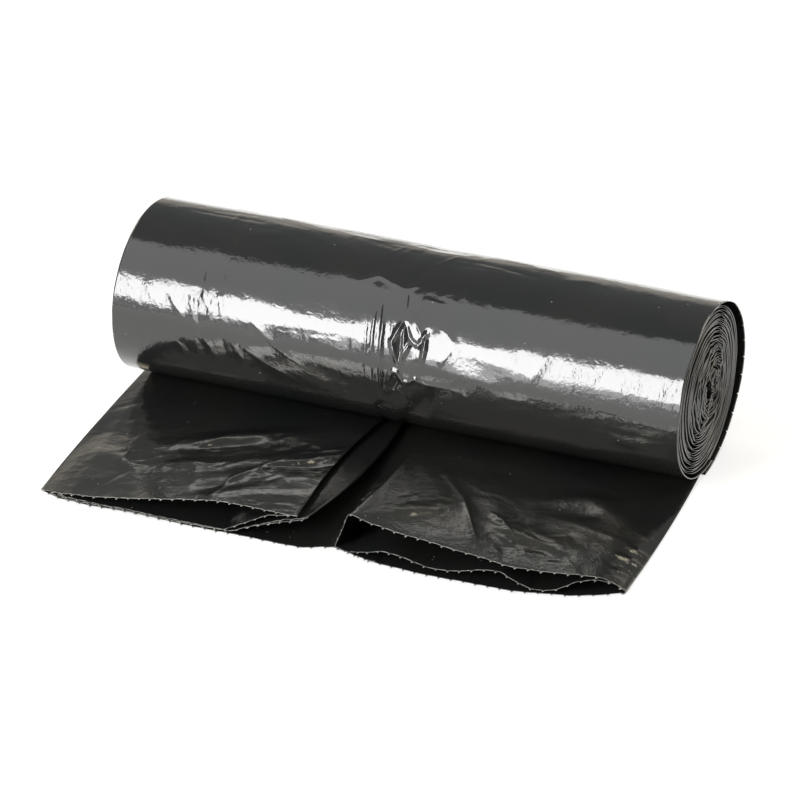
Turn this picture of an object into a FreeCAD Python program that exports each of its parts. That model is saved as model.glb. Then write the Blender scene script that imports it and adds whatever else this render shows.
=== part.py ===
"""A roll of black bin bags, lying on a table with the leading bag drawn out in front.

The film is one long tube. It is folded lengthwise, a flap from each side over the middle, and
wound up without a core. So the whole roll is one piece: the wound turns, the last turn that
stands a little off the back, and the leading bag that runs from under the roll to its torn mouth.

The frame is in millimetres. X runs along the roll, Y from the torn mouth to the back and Z up.
The origin is on the table, under the middle of the wound turns.
"""

import FreeCAD, Part

import os

from FreeCAD import Vector

NODE = "bag_roll"

# Each size: alias, value in millimetres, what it is
SIZES = [
    ("folded_width", 229.0, "width of the folded film, which is the roll's length"),
    ("roll_height", 68.0, "height of the roll on the table"),
    ("roll_sag", 4.7, "how far its front and back halves are moved apart by its weight"),
    ("roll_lean", 1.05, "how far the roll leans toward the leading bag"),
    ("back_slack", 1.7, "how far the wound turns are pulled off the last one at the back"),
    ("ply", 0.8, "thickness of the last turn and of each ply of the leading bag"),
    ("wrap_gap", 0.5, "air between the last turn and the next one above"),
    ("turn", 2.9, "thickness of one wound turn"),
    ("turn_gap", 0.8, "air between two wound turns at the roll's ends"),
    ("turn_depth", 5.0, "how deep the air between the turns reaches in from each end"),
    ("core_opening", 3.2, "hollow left where the winding starts"),
    ("end_recess", 2.2, "how far the wound turns sit inside the last one"),
    ("core_recess", 1.4, "how much deeper the inner turns sit"),
    ("core_share", 0.4, "share of the roll's height that the deeper turns take"),
    ("tail_length", 112.0, "from the roll's middle to the torn edge"),
    ("tail_skew", 5.5, "how far the torn edge is drawn to the right"),
    ("corner_width", 42.0, "length of torn edge that bends back at the right"),
    ("corner_setback", 15.0, "how far that corner bends back"),
    ("tooth_pitch", 4.6, "spacing of the perforation"),
    ("tooth_width", 1.6, "width of one torn tie"),
    ("tooth_length", 1.3, "length of one torn tie"),
    ("nip_height", 2.0, "height of the folded film pressed flat under the roll"),
    ("left_fold_nip", 10.0, "from the middle to the left flap's fold, under the roll"),
    ("left_fold_middle", 15.0, "the same, halfway along the leading bag"),
    ("left_fold_mouth", 7.6, "the same, at the torn mouth"),
    ("left_rise_middle", 8.6, "height of the left flap's fold, halfway along"),
    ("left_rise_mouth", 13.8, "the same, at the torn mouth"),
    ("left_lift", 31.0, "how far in from its fold the left flap is off the table"),
    ("lip_nip", 6.0, "how far the gusset's fold shows beyond the left flap's, under the roll"),
    ("lip_middle", 13.0, "the same, halfway along"),
    ("lip_mouth", 4.4, "the same, at the torn mouth"),
    ("right_fold_nip", 4.5, "from the middle to the right flap's fold, under the roll"),
    ("right_fold_middle", 10.5, "the same, halfway along"),
    ("right_fold_mouth", 9.9, "the same, at the torn mouth"),
    ("right_rise_middle", 10.4, "height of the right flap's fold, halfway along"),
    ("right_rise_mouth", 17.0, "the same, at the torn mouth"),
    ("right_lean", 6.2, "how far the right flap's inner side leans over its foot at the mouth"),
    ("pocket_depth", 58.0, "how far in the torn mouth stands open"),
]

doc = FreeCAD.newDocument("bin_bag_roll")
sheet = doc.addObject("Spreadsheet::Sheet", "Sizes")
for row, (alias, value, meaning) in enumerate(SIZES, start=1):
    sheet.set(f"A{row}", meaning)
    sheet.set(f"B{row}", str(value))
    sheet.setAlias(f"B{row}", alias)
doc.recompute()


def size(alias):
    """The value of one cell of the sheet."""
    return float(sheet.get(alias))


half_width = size("folded_width") / 2
roll_height = size("roll_height")
ply = size("ply")
nip_height = size("nip_height")
tail_length = size("tail_length")
tooth_length = size("tooth_length")


def feature(name, shape):
    """A document object that holds a shape made with Part's own functions."""
    made = doc.addObject("Part::Feature", name)
    made.Shape = shape
    return made


def extrusion(name, base, direction, forward, backward=None):
    """A solid drawn from a face along a direction, with its length bound to the sheet."""
    made = doc.addObject("Part::Extrusion", name)
    made.Base = base
    made.DirMode = "Custom"
    made.Dir = direction
    made.Solid = True
    made.setExpression("LengthFwd", forward)
    if backward:
        made.setExpression("LengthRev", backward)
    return made


def loft(name, sections):
    """A solid through closed wires in turn."""
    made = doc.addObject("Part::Loft", name)
    made.Sections = sections
    made.Solid = True
    made.Ruled = True
    return made


def joined(name, shapes):
    """Several objects fused into one."""
    made = doc.addObject("Part::MultiFuse", name)
    made.Shapes = shapes
    return made


def combined(kind, name, base, tool):
    """A Part::Cut or Part::Common of two objects."""
    made = doc.addObject(kind, name)
    made.Base = base
    made.Tool = tool
    return made


def mix(first, second, share):
    """The value that lies a share of the way from the first to the second."""
    return first + (second - first) * share


# The wound turns: a spiral of half circles, joined above and below by short flats

turn = size("turn")
turn_gap = size("turn_gap")
core_opening = size("core_opening")


def half_turns():
    """Each half turn from outside in, as start and end height of its outer and its inner side.

    Even half turns go up the back and odd ones come down the front. The first starts on the
    table, and each later pair lies one turn and one gap further in.
    """
    made = [(0.0, roll_height, ply, roll_height - ply)]
    high, low = roll_height, nip_height
    above = ply
    next_high = roll_height - ply - size("wrap_gap")
    while next_high - low > core_opening + 2 * turn:
        made.append((high, low, high - above, low + turn))
        made.append((low, next_high, low + turn, next_high - turn))
        high, above = next_high, turn
        low += turn + turn_gap
        next_high -= turn + turn_gap
    return made


def centre_shift(index):
    """How far from the middle a half turn has its centre, because the roll sags and leans."""
    start, end = halves[index][:2]
    share = abs(end - start) / roll_height
    apart = share * size("roll_sag") / 2
    if index % 2:
        return -apart - size("roll_lean")
    slack = share * size("back_slack") if index else 0
    return apart - slack - size("roll_lean")


def half_circle(index, start, end):
    """A half circle of the roll's cross-section, from one height to another."""
    shift = centre_shift(index)
    reach = abs(end - start) / 2
    side = shift + reach if index % 2 == 0 else shift - reach
    ends = Vector(0, shift, start), Vector(0, shift, end)
    return Part.Arc(ends[0], Vector(0, side, (start + end) / 2), ends[1]).toShape()


def polyline(*points):
    """Straight edges in the roll's cross-section through (y, z) points, leaving out empty ones."""
    corners = [Vector(0, *point) for point in points]
    return [Part.makeLine(*pair) for pair in zip(corners, corners[1:]) if (pair[1] - pair[0]).Length > 1e-4]


def turns_face():
    """The cross-section of the film from under the roll to its start in the middle."""
    front = -nip_height
    outer_y = inner_y = front
    edges = []
    for index, (start, end, start_inside, end_inside) in enumerate(halves):
        shift = centre_shift(index)
        edges += polyline((outer_y, start), (shift, start))
        edges += polyline((inner_y, start_inside), (shift, start_inside))
        edges += [half_circle(index, start, end), half_circle(index, start_inside, end_inside)]
        outer_y = inner_y = shift
    edges += polyline((shift, end), (shift, end_inside))
    edges += polyline((front, 0), (front, ply))
    return Part.Face(Part.Wire(Part.__sortEdges__(edges)))


def turns_inside(index, inset):
    """The face that holds every turn from one back half turn on, less an inset into its film."""
    low, high = halves[index][0] + inset, halves[index][1] - inset
    low_front = halves[index + 1][1] + inset
    back, front = centre_shift(index), centre_shift(index + 1)
    edges = [half_circle(index, low, high), half_circle(index + 1, high, low_front)]
    edges += polyline((back, high), (front, high))
    edges += polyline((front, low_front), (front, low), (back, low))
    return Part.Face(Part.Wire(Part.__sortEdges__(edges)))


halves = half_turns()
core_index = 2
while halves[core_index][1] - halves[core_index][0] > size("core_share") * roll_height:
    core_index += 2

half_length = "Sizes.folded_width / 2"
turns_section = feature("turns_section", turns_face())
wound_turns = extrusion("wound_turns", turns_section, Vector(1, 0, 0), half_length, half_length)

# Away from the ends the turns are pressed together
pressed_section = feature("pressed_section", turns_inside(2, turn / 2))
pressed_length = f"{half_length} - Sizes.end_recess - Sizes.turn_depth"
pressed_turns = extrusion("pressed_turns", pressed_section, Vector(1, 0, 0), pressed_length, pressed_length)
whole_turns = joined("whole_turns", [wound_turns, pressed_turns])

# The wound turns sit inside the last one at each end, and the innermost sit deeper still
recesses = []
for part_name, index, depth in (
    ("turns", 2, "Sizes.end_recess"),
    ("core", core_index, "Sizes.end_recess + Sizes.core_recess"),
):
    face = turns_inside(index, -min(size("wrap_gap"), turn_gap) / 2)
    for side, sign in (("left", -1), ("right", 1)):
        recess_section = feature(f"{part_name}_{side}_section", face)
        recess_section.Placement.Base = Vector(sign * half_width, 0, 0)
        recesses.append(
            extrusion(f"{part_name}_{side}_recess", recess_section, Vector(-sign, 0, 0), depth)
        )
roll_body = combined("Part::Cut", "roll_body", whole_turns, joined("recess_tools", recesses))

# The leading bag: a ply on the table, a flap folded in from each side, and the torn mouth

mouth_y = -tail_length
nip_y = -nip_height / 2
beyond_mouth = mouth_y - 2 * tooth_length
middle_y = mix(nip_y, mouth_y, 0.5)
overlap = ply / 2


def skew_at(y):
    """How far the drawn-out film has moved to the right at a place along Y."""
    return size("tail_skew") * y / mouth_y


def section(name, y, runs, creased=False):
    """A closed wire across the bag at one place along Y, from runs of (x, z) points.

    Each run is a smooth curve through its points, or straight from one to the next where it has
    only two or the film is creased. It starts where the one before it ends, and x is counted
    from the middle of the skewed film.
    """
    edges = []
    for run in runs:
        points = [Vector(x + skew_at(y), y, z) for x, z in run]
        if creased or len(points) == 2:
            edges += [Part.makeLine(*pair) for pair in zip(points, points[1:])]
        else:
            curve = Part.BSplineCurve()
            curve.interpolate(points)
            edges.append(curve.toShape())
    return feature(name, Part.Wire(edges))


def shaped(profile, outer, inner, foot, rise):
    """Points of a profile of (share of width, share of rise), laid between two places in x."""
    return [(mix(outer, inner, across), mix(foot, rise, up)) for across, up in profile]


# Shares of the width, from the outer fold to the inner, and of the height at the inner fold
LEFT_TOP = [(0, 0), (0.14, 0.22), (0.40, 0.50), (0.70, 0.96), (1, 1)]
LEFT_UNDER = [(0, 0), (0.22, 0.42), (0.52, 0.86), (1, 1)]
RIGHT_TOP = [(0, 0), (0.06, 0.36), (0.17, 0.53), (0.45, 0.65), (0.72, 0.85), (1, 1)]

# The hollows between the plies: share of the width, then of the height above and below
LEFT_MOUTH = [
    (0.06, 0.04, 0),
    (0.14, 0.17, 0),
    (0.37, 0.43, 0),
    (0.56, 0.76, 0),
    (0.66, 0.92, 0),
    (0.70, 0.96, 0.03),
    (0.78, 0.97, 0.50),
    (0.88, 0.98, 0.85),
    (1, 1, 0.93),
]
RIGHT_UPPER = [
    (0.15, 0.50, 0.34),
    (0.28, 0.58, 0.16),
    (0.43, 0.65, 0.46),
    (0.66, 0.83, 0.23),
    (0.84, 0.84, 0.38),
    (1, 0.98, 0.24),
]
RIGHT_LOWER = [
    (0.04, 0.10, 0),
    (0.11, 0.27, 0),
    (0.28, 0.07, 0),
    (0.43, 0.37, 0),
    (0.66, 0.14, 0),
    (0.84, 0.29, 0),
    (1, 0.15, 0),
]


def along(alias, y, nip=None):
    """A size at a place along the bag, on a smooth curve through its three named places."""
    first = size(f"{alias}_nip") if nip is None else nip
    middle, mouth = size(f"{alias}_middle"), size(f"{alias}_mouth")
    share = (y - nip_y) / (mouth_y - nip_y)
    towards = 2 * share
    bend = first - 2 * middle + mouth
    return first + (4 * middle - 3 * first - mouth) * share + bend * share * towards


def left_outline(name, y):
    """The left flap's outline: its top, the step to the gusset's fold, and its underside."""
    rise = along("left_rise", y, nip=flat_rise)
    outer, inner = film_edge, -along("left_fold", y)
    lip = inner + along("lip", y)
    foot = inner - size("left_lift")
    step_down = min(ply, rise / 3)
    top = shaped(LEFT_TOP, -outer, inner, ply, rise)
    step = [(inner, rise - step_down), (lip, rise - 1.25 * step_down), (lip, rise - 2 * step_down)]
    under = shaped(LEFT_UNDER, foot, lip, overlap, rise - 2 * step_down)[::-1]
    corners = [top[-1]] + step + under[1:] + [(-outer, overlap), top[0]]
    return section(name, y, [top] + [list(pair) for pair in zip(corners, corners[1:])])


def right_outline(name, y):
    """The right flap's outline: its top and the inner side that comes down to its foot."""
    rise = along("right_rise", y, nip=flat_rise)
    inner = along("right_fold", y)
    top = shaped(RIGHT_TOP, film_edge, inner, ply, rise)
    base = [(inner - right_lean(y), overlap), (film_edge, overlap)]
    return section(name, y, [top, [top[-1], base[0]], base, [base[1], top[0]]])


def right_lean(y):
    """How far the right flap's inner side leans at a place along the bag."""
    return size("right_lean") * (nip_y - y) / tail_length


def hollow(name, y, outer, inner, rise, profile, opening):
    """A hollow between two plies, drawn together towards its middle height by its opening."""
    above, below = [], []
    for across, top, bottom in profile:
        x = mix(outer, inner, across)
        middle = (top + bottom) / 2
        above.append((x, mix(ply, rise - ply, mix(middle, top, opening))))
        below.append((x, mix(ply, rise - ply, mix(middle, bottom, opening))))
    below = below[::-1]
    runs = [above, [above[-1], below[0]], below, [below[-1], above[0]]]
    return section(name, y, runs, creased=True)


def left_hollow(name, y, profile, opening):
    """The hollow inside the left flap at a place along the bag."""
    rise = along("left_rise", y, nip=flat_rise)
    return hollow(name, y, -film_edge, -along("left_fold", y) - ply, rise, profile, opening)


def right_hollow(name, y, profile, opening):
    """A hollow inside the right flap at a place along the bag."""
    rise = along("right_rise", y, nip=flat_rise)
    return hollow(name, y, film_edge, along("right_fold", y) + ply, rise, profile, opening)


def torn_edge(x):
    """Where along Y the film is torn, at a place along X."""
    bend = max(0.0, x - (half_width + size("tail_skew") - size("corner_width"))) / size("corner_width")
    return mouth_y + size("corner_setback") * bend**2


def torn_outline():
    """The plan of the leading bag, with a small torn tie at each place of the perforation."""
    pitch, tie = size("tooth_pitch"), size("tooth_width") / 2
    left, right = -half_width + size("tail_skew"), half_width + size("tail_skew")
    count = int((right - left) / pitch)
    first = (left + right - (count - 1) * pitch) / 2
    points = [(-half_width, 0), (-half_width, -nip_height), (left, torn_edge(left))]
    for tooth in range(count):
        middle = first + tooth * pitch
        points.append((middle - tie, torn_edge(middle - tie)))
        points.append((middle, torn_edge(middle) - tooth_length))
        points.append((middle + tie, torn_edge(middle + tie)))
    points += [(right, torn_edge(right)), (half_width, -nip_height), (half_width, 0)]
    return Part.Face(Part.makePolygon([Vector(x, y, 0) for x, y in points + points[:1]]))


film_edge = half_width - ply
flat_rise = nip_height - turn_gap / 2

stations = (("nip", nip_y), ("middle", middle_y), ("mouth", beyond_mouth))
left_flap = loft("left_flap", [left_outline(f"left_{place}", y) for place, y in stations])
right_flap = loft("right_flap", [right_outline(f"right_{place}", y) for place, y in stations])

pocket_end = mouth_y + size("pocket_depth")
openings = ((beyond_mouth - ply, 1.0), (pocket_end, 0.3))
pockets = []
for name, maker, profile in (
    ("left_mouth", left_hollow, LEFT_MOUTH),
    ("right_upper", right_hollow, RIGHT_UPPER),
    ("right_lower", right_hollow, RIGHT_LOWER),
):
    sections = [maker(f"{name}_{index}", y, profile, share) for index, (y, share) in enumerate(openings)]
    pockets.append(loft(f"{name}_hollow", sections))

torn_plan = feature("torn_plan", torn_outline())
table_ply = extrusion("table_ply", torn_plan, Vector(0, 0, 1), "Sizes.ply")
torn_block = extrusion("torn_block", torn_plan, Vector(0, 0, 1), "Sizes.right_rise_mouth * 1.5")
flaps = joined("flaps", [left_flap, right_flap])
torn_flaps = combined("Part::Common", "torn_flaps", flaps, torn_block)
bag = joined("bag", [table_ply, torn_flaps])
open_bag = combined("Part::Cut", "open_bag", bag, joined("hollows", pockets))

bag_roll = joined(NODE, [roll_body, open_bag])
bag_roll.Label = NODE
bag_roll.Placement = FreeCAD.Placement()
doc.recompute()

for made in doc.Objects:
    if {"Invalid", "Error"} & set(made.State):
        raise RuntimeError(f"{made.Name} failed: {made.State}")
if bag_roll.Shape.isNull() or not bag_roll.Shape.isValid():
    raise RuntimeError("the roll's shape is not valid")

os.makedirs("parts", exist_ok=True)
bag_roll.Shape.exportStep(f"parts/{NODE}.step")
box = bag_roll.Shape.BoundBox
print(f"{NODE}: {len(bag_roll.Shape.Solids)} solid, {round(bag_roll.Shape.Volume)} mm3")
print("box", [round(value, 2) for value in (box.XMin, box.XMax, box.YMin, box.YMax, box.ZMin, box.ZMax)])
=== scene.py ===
# %% [markdown]
# # A roll of black bin bags
# The object is one long tube of thin black film, folded lengthwise and wound up, with the leading
# bag drawn out in front and torn open along its perforation. The model that comes from the
# workshop has the main shapes in thick plies. Here the film gets thin, and gets its creases, the
# torn ties of the perforation and its gloss. Sizes are in millimetres until a mesh is made.

import bpy
import numpy as np
from mathutils import Matrix, Vector


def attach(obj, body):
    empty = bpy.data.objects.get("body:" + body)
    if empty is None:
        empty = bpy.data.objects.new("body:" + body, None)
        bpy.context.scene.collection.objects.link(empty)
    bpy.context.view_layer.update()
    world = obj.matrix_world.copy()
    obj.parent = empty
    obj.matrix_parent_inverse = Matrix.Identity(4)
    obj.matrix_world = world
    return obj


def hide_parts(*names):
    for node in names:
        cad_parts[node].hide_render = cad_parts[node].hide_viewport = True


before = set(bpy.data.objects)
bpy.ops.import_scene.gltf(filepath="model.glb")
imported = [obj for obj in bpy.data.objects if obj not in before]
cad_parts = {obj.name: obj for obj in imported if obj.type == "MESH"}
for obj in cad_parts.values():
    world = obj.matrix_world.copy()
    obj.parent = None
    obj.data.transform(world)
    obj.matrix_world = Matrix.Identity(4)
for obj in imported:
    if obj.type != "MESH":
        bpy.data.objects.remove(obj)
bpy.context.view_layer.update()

# %% [markdown]
# ## From arrays to film
# Film is a surface that bends freely, so each piece is a grid of points worked out with numpy. A
# modifier stack could bend planes too, but a grid lets every crease sit where the photo has it.
# All grids pass through one helper that turns rows and columns into quads.

# %% Grid helper
MM = 0.001


def grid_object(name, points, closed=False, marks=None):
    """A smooth mesh object from a (rows, columns, 3) array in millimetres.

    Each quad joins (row, column) with its neighbours at row + 1 and column + 1. A closed grid
    also joins its last column to the first. Marks hold one number for each point: 1 at torn film
    and at film edges that get a painted glint.
    """
    rows, columns = points.shape[:2]
    index = np.arange(rows * columns).reshape(rows, columns)
    if closed:
        index = np.concatenate([index, index[:, :1]], axis=1)
    quads = np.stack([index[:-1, :-1], index[:-1, 1:], index[1:, 1:], index[1:, :-1]], axis=-1)
    quads = quads.reshape(-1, 4)
    mesh = bpy.data.meshes.new(name)
    mesh.vertices.add(rows * columns)
    mesh.vertices.foreach_set("co", (points.reshape(-1, 3) * MM).astype(np.float32).ravel())
    mesh.loops.add(quads.size)
    mesh.loops.foreach_set("vertex_index", quads.ravel().astype(np.int32))
    mesh.polygons.add(len(quads))
    mesh.polygons.foreach_set("loop_start", np.arange(0, quads.size, 4, dtype=np.int32))
    mesh.polygons.foreach_set("use_smooth", np.ones(len(quads), bool))
    mesh.update(calc_edges=True)
    tear_and_glint = mesh.attributes.new("tear_and_glint", "FLOAT", "POINT")
    values = np.zeros(rows * columns) if marks is None else marks
    tear_and_glint.data.foreach_set("value", values.astype(np.float32).ravel())
    made = bpy.data.objects.new(name, mesh)
    bpy.context.scene.collection.objects.link(made)
    print(f"{name}: {len(quads)} quads")
    return made


# %% [markdown]
# ## Wrinkles as numbers
# Film shows three kinds of relief: slow waves where the layers below are uneven, straight creases
# where it was folded sharply, and fine crinkles. The waves are value noise, a table of random
# heights with smooth steps between them. A crease is a ridge along a short line. Both are added up
# over whole arrays.


# %% Noise and creases
def noise(x, y, seed):
    """Value noise of about -1 to 1: random heights on whole numbers, blended by 3t^2 - 2t^3."""
    table = np.random.default_rng(seed).uniform(-1, 1, (64, 64))
    column, row = np.floor(x).astype(int), np.floor(y).astype(int)
    across, up = x - column, y - row
    across, up = across * across * (3 - 2 * across), up * up * (3 - 2 * up)
    low = table[row % 64, column % 64] * (1 - across) + table[row % 64, (column + 1) % 64] * across
    high = table[(row + 1) % 64, column % 64] * (1 - across)
    high = high + table[(row + 1) % 64, (column + 1) % 64] * across
    return low * (1 - up) + high * up


def creases(x, y, lines, rounded=False):
    """Sum of ridges: height * exp(-|d| / width) * exp(-(l / half length)^4) for each line.

    A line is (x1, y1, x2, y2, width, height); d is the distance across it and l along it. A
    rounded ridge is a soft fold, with exp(-(d / width)^2) across it.
    """
    total = np.zeros(np.broadcast(x, y).shape)
    for x1, y1, x2, y2, width, height in lines:
        length = np.hypot(x2 - x1, y2 - y1)
        cosine, sine = (x2 - x1) / length, (y2 - y1) / length
        from_x, from_y = x - (x1 + x2) / 2, y - (y1 + y2) / 2
        along = from_x * cosine + from_y * sine
        across = from_y * cosine - from_x * sine
        soft = np.sqrt(across**2 + (0.25 * width) ** 2) / width
        fall = (across / width) ** 2 if rounded else soft
        total += height * np.exp(-fall) * np.exp(-((2 * along / length) ** 4))
    return total


def random_creases(seed, count, span, lengths, widths, heights, angles=(0, 180)):
    """Crease lines strewn over a span (x1, x2, y1, y2), each value drawn between two limits."""
    draw = np.random.default_rng(seed)
    x, y = draw.uniform(span[0], span[1], count), draw.uniform(span[2], span[3], count)
    half = draw.uniform(*lengths, count) / 2
    angle = np.radians(draw.uniform(*angles, count))
    height = draw.uniform(*heights, count) * draw.choice([-1, 1], count)
    width = draw.uniform(*widths, count)
    across, up = half * np.cos(angle), half * np.sin(angle)
    return np.stack([x - across, y - up, x + across, y + up, width, height], axis=1)


def blend(value, low, high):
    """0 below low, 1 above high, and 3t^2 - 2t^3 between them."""
    t = np.clip((value - low) / (high - low), 0, 1)
    return t * t * (3 - 2 * t)


# %% [markdown]
# ## The last turn of the roll
# The roll's skin is the last turn of film. It is pulled tight round the turns below, sags a little
# under its own weight, and creeps inward at the front until it slips under the roll. It stands about
# a millimetre beyond the turns next to it at both ends. A cylinder with a displacement map would
# look the same from afar, but its creases would stay shallow, so the points are moved here.

# %% Sizes of the roll
HALF = 114.5  # half the length of the last turn
BREADTH, HEIGHT = 36.1, 34.0  # half the roll's depth, half its height
SWELL, TAPER = 0.34, 0.17  # how much fuller the middle is, and the left half
SLACK = 1.5  # how far the last turn stands off the back
NIP_RISE = 2.2  # how far the film draws in where it slips under the front
TABLE_GAP = 0.15  # film comes no closer to the table


def roll_surface(x, turn, inset=0.0):
    """Points of the last turn: turn is the angle in degrees from the table, going up the back.

    y = b sin(turn), z = h - h cos(turn), with radii that swell a little in the middle of the roll
    and draw in by NIP_RISE where the film goes under the front. Inset moves a point inward.
    """
    angle = np.radians(turn)
    u = x / HALF
    swell = SWELL * (1 - u**2) - TAPER * u - inset
    creep = NIP_RISE * blend(turn, 285, 355)
    loose = (1.0 + 0.9 * u) * blend(turn, 15, 75) * (1 - blend(turn, 105, 165))
    y = (BREADTH + swell - creep) * np.sin(angle) + SLACK * loose
    z = HEIGHT + (-(HEIGHT + swell) + creep) * np.cos(angle)
    z = np.maximum(z, TABLE_GAP + inset * 0.5)
    return np.stack(np.broadcast_arrays(x, y, z), axis=-1)


# %% Where the points lie
def spaced(stops):
    """Places from (start, end, step) runs, in order and without doubles."""
    parts = [np.linspace(a, b, int(round((b - a) / step)) + 1)[:-1] for a, b, step in stops]
    return np.concatenate(parts + [[stops[-1][1]]])


# The rims have a small notch every NOTCH_TURN degrees, up to NOTCHED_TO. Rows stand close there.
NOTCH_TURN, NOTCHED_TO, NOTCH_DEPTH = 12.0, 168, 0.6
ROWS = np.array([0, 0.6, 2.5, 4.6, 6.8, 9.1, 11.4])
by_notch = np.arange(0, NOTCHED_TO, NOTCH_TURN)[:, None] + ROWS
plain = spaced([(NOTCHED_TO, 300, 0.9), (300, 368, 2.4)])
skin_turn = np.concatenate([[-4, -2, -0.6], by_notch.ravel(), plain])
skin_x = spaced(
    [(-HALF, -112, 0.5), (-112, -20, 1.0), (-20, 30, 0.4), (30, 112, 1.0), (112, HALF, 0.5)]
)
print(f"the skin has {len(skin_turn)} rows and {len(skin_x)} columns")

# %% [markdown]
# The creases of the skin are listed where the real roll has them. Down is the angle from the top
# of the roll toward the front. A band of crumpled film crosses the middle, where the roll was held:
# short ribbons with a steep side stand up from it, and thin lines run round the roll beside it.
# Wide, low folds make the bright stripe thinner or wider. A bump map could draw the lines, but not
# bend the stripe.

# %% Creases of the skin
ROUND = 0.61  # millimetres round the roll for one degree
# Each is (along, down, along, down, width, height), in millimetres and degrees
SKIN_CREASES = [
    (-5.9, 44, -4.0, 60, 0.45, 0.36),
    (-4.2, 58, -2.6, 104, 0.5, 0.46),
    (-11.2, 50, -8.6, 92, 0.4, 0.16),
    (-9.0, 40, -6.1, 98, 0.35, -0.20),
    (-7.4, 52, -5.0, 84, 0.35, 0.18),
    (-1.2, 46, 0.4, 76, 0.4, -0.16),
    (3.0, 50, 1.0, 36, 0.7, 0.34),
    (7.6, 53, 8.8, 36, 0.7, 0.30),
    (8.3, 52, 13.2, 62.5, 0.6, 0.32),
    (-16.6, 58, -14.2, 82, 0.5, 0.10),
    (-6.5, 97, -5.2, 83, 0.8, 0.26),
    (-2.2, 99, -0.3, 87, 0.8, -0.28),
    (3.4, 96, 9.2, 106, 0.7, 0.30),
    (-14.1, 10, -9.6, -8, 0.5, 0.13),
    (-10.2, 12, -6.0, -6, 0.5, 0.10),
    (6.6, 10, 11.8, -6, 0.7, 0.24),
    (69.8, -24, 72.2, 13, 0.5, 0.10),
    (70.5, 32, 72.4, 92, 0.6, 0.10),
    (61.9, 55, 55.0, 79, 1.0, 0.20),
    (24.6, 64, 20.4, 75, 1.0, 0.22),
    (44.0, 88, 66.0, 90, 1.2, 0.13),
    (78.0, 83, 114.0, 89, 1.3, 0.14),
    (16.0, 76.5, 44.0, 85.5, 1.8, 0.16),
    (-79.4, -18, -78.2, 26, 0.35, 0.19),
    (-78.6, 24, -74.0, 37, 0.35, 0.19),
    (-72.8, -6, -71.4, 18, 0.35, 0.19),
    (-71.6, 16, -69.8, 38, 0.35, 0.19),
    (-88.2, 8, -80.8, 22, 0.4, 0.19),
    (-86.4, 35, -81.2, 50, 0.4, 0.30),
    (-82.4, 47, -77.4, 53.5, 0.4, -0.23),
    (-78.2, 44, -76.8, 61, 0.4, 0.30),
    (-72.2, 42, -71.2, 58, 0.4, -0.23),
    (-71.7, 55, -68.0, 74, 0.4, 0.34),
    (-91.0, 64, -84.0, 78, 0.45, 0.38),
    (-82.4, 60, -80.0, 77, 0.4, 0.27),
    (-80.8, 59, -79.0, 75, 0.4, -0.30),
    (-77.4, 59, -73.6, 71, 0.4, 0.30),
    (-72.6, 60, -73.9, 74, 0.4, 0.30),
    (-80.4, 75, -74.4, 92, 0.5, 0.27),
    (-57.5, 69, -48.0, 81.5, 1.1, 0.30),
    (-50.0, 79, -30.0, 100, 1.0, 0.26),
    (-60.4, 87, -47.0, 99.5, 0.9, 0.24),
    (-49.0, 97.5, -35.5, 109, 0.9, 0.20),
    (-90.4, 90.5, -83.4, 99, 0.6, 0.20),
    (-84.4, 90, -82.0, 102, 0.6, -0.18),
    (-79.8, 86, -77.8, 101, 0.6, 0.20),
    (-74.6, 88, -70.0, 103, 0.6, 0.24),
    (-68.7, 83.5, -65.4, 101, 0.6, -0.22),
    (-64.2, 86, -59.4, 98.5, 0.7, 0.22),
    (-111.4, 20, -103.0, 33, 0.4, 0.07),
    (-102.0, 58, -97.0, 70, 0.7, 0.14),
    (30.6, 92, 36.0, 97, 0.8, 0.18),
]
# Soft folds of the crumpled middle and low, wide ones beside it, with the same values for each
SKIN_FOLDS = [
    (3.6, 52, 0.2, 67, 0.95, 0.66),
    (-0.2, 65, 3.6, 79, 0.95, 0.60),
    (3.6, 62, 4.2, 79, 0.8, -0.55),
    (4.2, 78.5, 7.4, 66, 0.8, 0.58),
    (4.4, 53, 5.4, 73, 0.7, 0.40),
    (3.4, 52, 8.0, 65, 0.9, -0.50),
    (7.6, 63, 11.2, 66.5, 0.9, -0.46),
    (10.8, 66.5, 13.8, 56, 0.9, -0.44),
    (13.1, 58, 13.7, 68, 0.75, 0.52),
    (13.7, 66, 13.2, 76, 0.75, 0.50),
    (-0.4, 94, 1.9, 84, 0.9, 0.50),
    (1.6, 84, 4.2, 85.5, 0.9, 0.46),
    (3.6, 84.5, 6.0, 91, 0.9, 0.44),
    (5.4, 90.5, 8.2, 90.5, 0.9, 0.42),
    (7.6, 91, 11.2, 86.6, 0.9, 0.42),
    (10.8, 86.6, 13.0, 89.5, 0.9, 0.38),
    (2.2, 97, 4.4, 89, 0.9, -0.34),
    (14.0, 89.5, 25.0, 89, 1.1, 0.26),
    (-18.8, 33, -11.6, 25.5, 1.3, 0.34),
    (-12.2, 25.5, 1.0, 32.8, 1.3, 0.34),
    (0.4, 33, 4.9, 26.8, 1.2, 0.30),
    (2.9, 48, 1.2, 34, 1.0, -0.34),
    (8.9, 37, 17.2, 38.5, 1.3, 0.26),
    (19.5, 52, 27.0, 66, 1.7, 0.16),
    (-46.0, 66, -8.0, 65, 3.2, 0.15),
    (-52.0, 53, -10.0, 55, 3.4, -0.10),
    (26.0, 61, 48.0, 61.5, 2.6, 0.13),
    (26.0, 68, 46.0, 76, 3.0, -0.16),
    (26.0, 78, 44.0, 82, 2.0, 0.12),
    (-114.0, 62, -98.0, 62, 3.0, 0.10),
    (70.0, 74, 112.0, 78, 3.0, -0.08),
    (-70.0, 14, -58.0, 6, 2.6, 0.22),
    (-52.0, 3, -40.0, 12, 2.6, -0.20),
    (-34.0, 4, -24.0, 14, 2.4, 0.20),
    (56.0, 0, 66.0, -8, 2.6, 0.20),
]


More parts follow.
